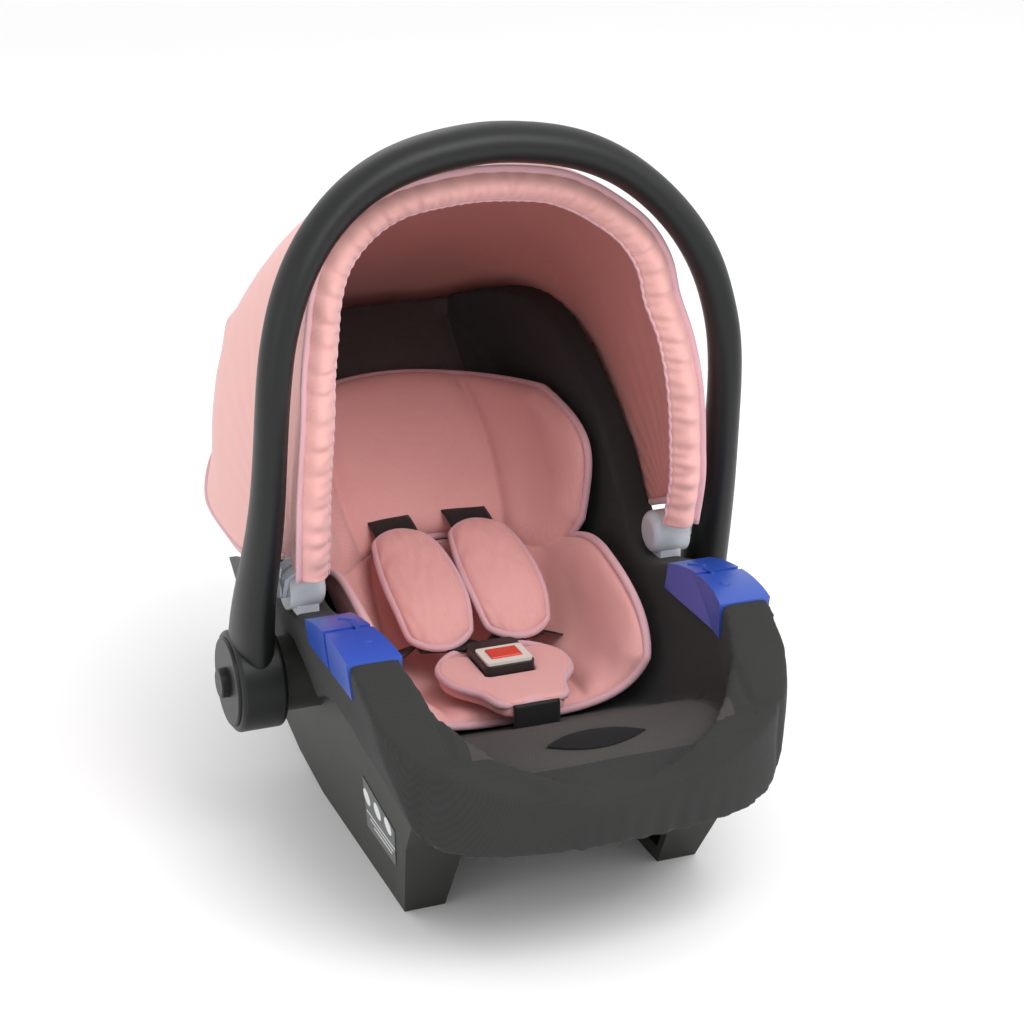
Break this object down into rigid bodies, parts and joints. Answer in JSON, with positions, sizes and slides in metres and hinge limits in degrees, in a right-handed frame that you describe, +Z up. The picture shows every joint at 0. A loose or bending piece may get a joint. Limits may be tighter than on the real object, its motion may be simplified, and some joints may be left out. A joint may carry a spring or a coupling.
{
  "type": "infant car seat",
  "caption": "Rear-facing infant car seat with a bowed carry handle, folding fabric canopy, padded liner, five-point harness and rocker base.",
  "frame": {"origin": "on the floor under the middle of the seat's box, resting on its rocker base", "axes": "+Z up; the child faces -Y, so the head end is at +Y; +X is the child's left-hand side"},
  "size_m": [0.442, 0.655, 0.5755],
  "materials": {
    "shell_plastic": "fine-grained moulded plastic, dark olive grey",
    "handle_plastic": "fine-grained moulded plastic, near black",
    "guide_plastic": "smooth moulded plastic, blue",
    "hinge_plastic": "smooth silver-grey plastic",
    "lock_plastic": "unfilled acetal",
    "buckle_plastic": "black plastic",
    "bezel_plastic": "off-white plastic",
    "button_plastic": "red plastic",
    "steel": "plated steel",
    "bow_steel": "coated wire",
    "foam": "expanded polystyrene",
    "cover_fabric": "padded charcoal knit",
    "pad_fabric": "padded dusty pink weave",
    "canopy_fabric": "dusty pink twill",
    "webbing": "black polyester webbing",
    "patch": "blank black woven patch",
    "side_label": "blank printed film"
  },
  "bodies": {
    "seat": {"seat_shell": "shell_plastic", "rocker_base": "shell_plastic", "base_screws": "steel", "foam_liner": "foam", "seat_cover": "cover_fabric", "label_patch": "patch", "side_label_left": "side_label", "side_label_right": "side_label", "head_pad": "pad_fabric", "body_pad": "pad_fabric", "crotch_pad": "pad_fabric", "shoulder_pad_left": "pad_fabric", "shoulder_pad_right": "pad_fabric", "shoulder_strap_left": "webbing", "shoulder_strap_right": "webbing", "lap_strap_left": "webbing", "lap_strap_right": "webbing", "crotch_strap": "webbing", "crotch_anchor": "steel", "harness_yoke": "steel", "buckle_body": "buckle_plastic", "buckle_bezel": "bezel_plastic", "buckle_spring": "steel", "tongue_left": "buckle_plastic", "tongue_right": "buckle_plastic", "belt_guide_left": "guide_plastic", "belt_guide_right": "guide_plastic", "rear_belt_guide": "guide_plastic", "pivot_socket_left": "shell_plastic", "pivot_socket_right": "shell_plastic", "pivot_bolt_left": "steel", "pivot_bolt_right": "steel", "canopy_clip_left": "hinge_plastic", "canopy_clip_right": "hinge_plastic", "canopy_pin_left": "hinge_plastic", "canopy_pin_right": "hinge_plastic"},
    "handle": {"handle_bar": "handle_plastic", "hub_cap_left": "handle_plastic", "hub_cap_right": "handle_plastic", "release_spring_left": "steel", "release_spring_right": "steel"},
    "release_left": {"release_button_left": "handle_plastic", "lock_ring_left": "lock_plastic"},
    "release_right": {"release_button_right": "handle_plastic", "lock_ring_right": "lock_plastic"},
    "canopy": {"canopy_bow": "bow_steel", "canopy_blade_left": "hinge_plastic", "canopy_blade_right": "hinge_plastic", "canopy_fabric": "canopy_fabric"},
    "buckle_release": {"buckle_button": "button_plastic"}
  },
  "joints": [
    {"name": "handle_turn", "type": "hinge", "parent": "seat", "child": "handle", "pos_m": [0, -0.032, 0.14], "axis": [1, 0, 0], "range_deg": [-100, 100]},
    {"name": "release_left_press", "type": "slide", "parent": "handle", "child": "release_left", "axis": [1, 0, 0], "range_m": [0, 0.005], "stiffness_N_per_m": 800, "springref_m": -0.003, "deforming": ["release_spring_left"]},
    {"name": "release_right_press", "type": "slide", "parent": "handle", "child": "release_right", "axis": [-1, 0, 0], "range_m": [0, 0.005], "stiffness_N_per_m": 800, "springref_m": -0.003, "deforming": ["release_spring_right"]},
    {"name": "canopy_fold", "type": "hinge", "parent": "seat", "child": "canopy", "pos_m": [0, -0.052, 0.223], "axis": [1, 0, 0], "range_deg": [-50, 0], "deforming": ["canopy_fabric"]},
    {"name": "buckle_press", "type": "slide", "parent": "seat", "child": "buckle_release", "axis": [0, 0, -1], "range_m": [0, 0.0039], "stiffness_N_per_m": 900, "springref_m": -0.003, "deforming": ["buckle_spring"]}
  ]
}
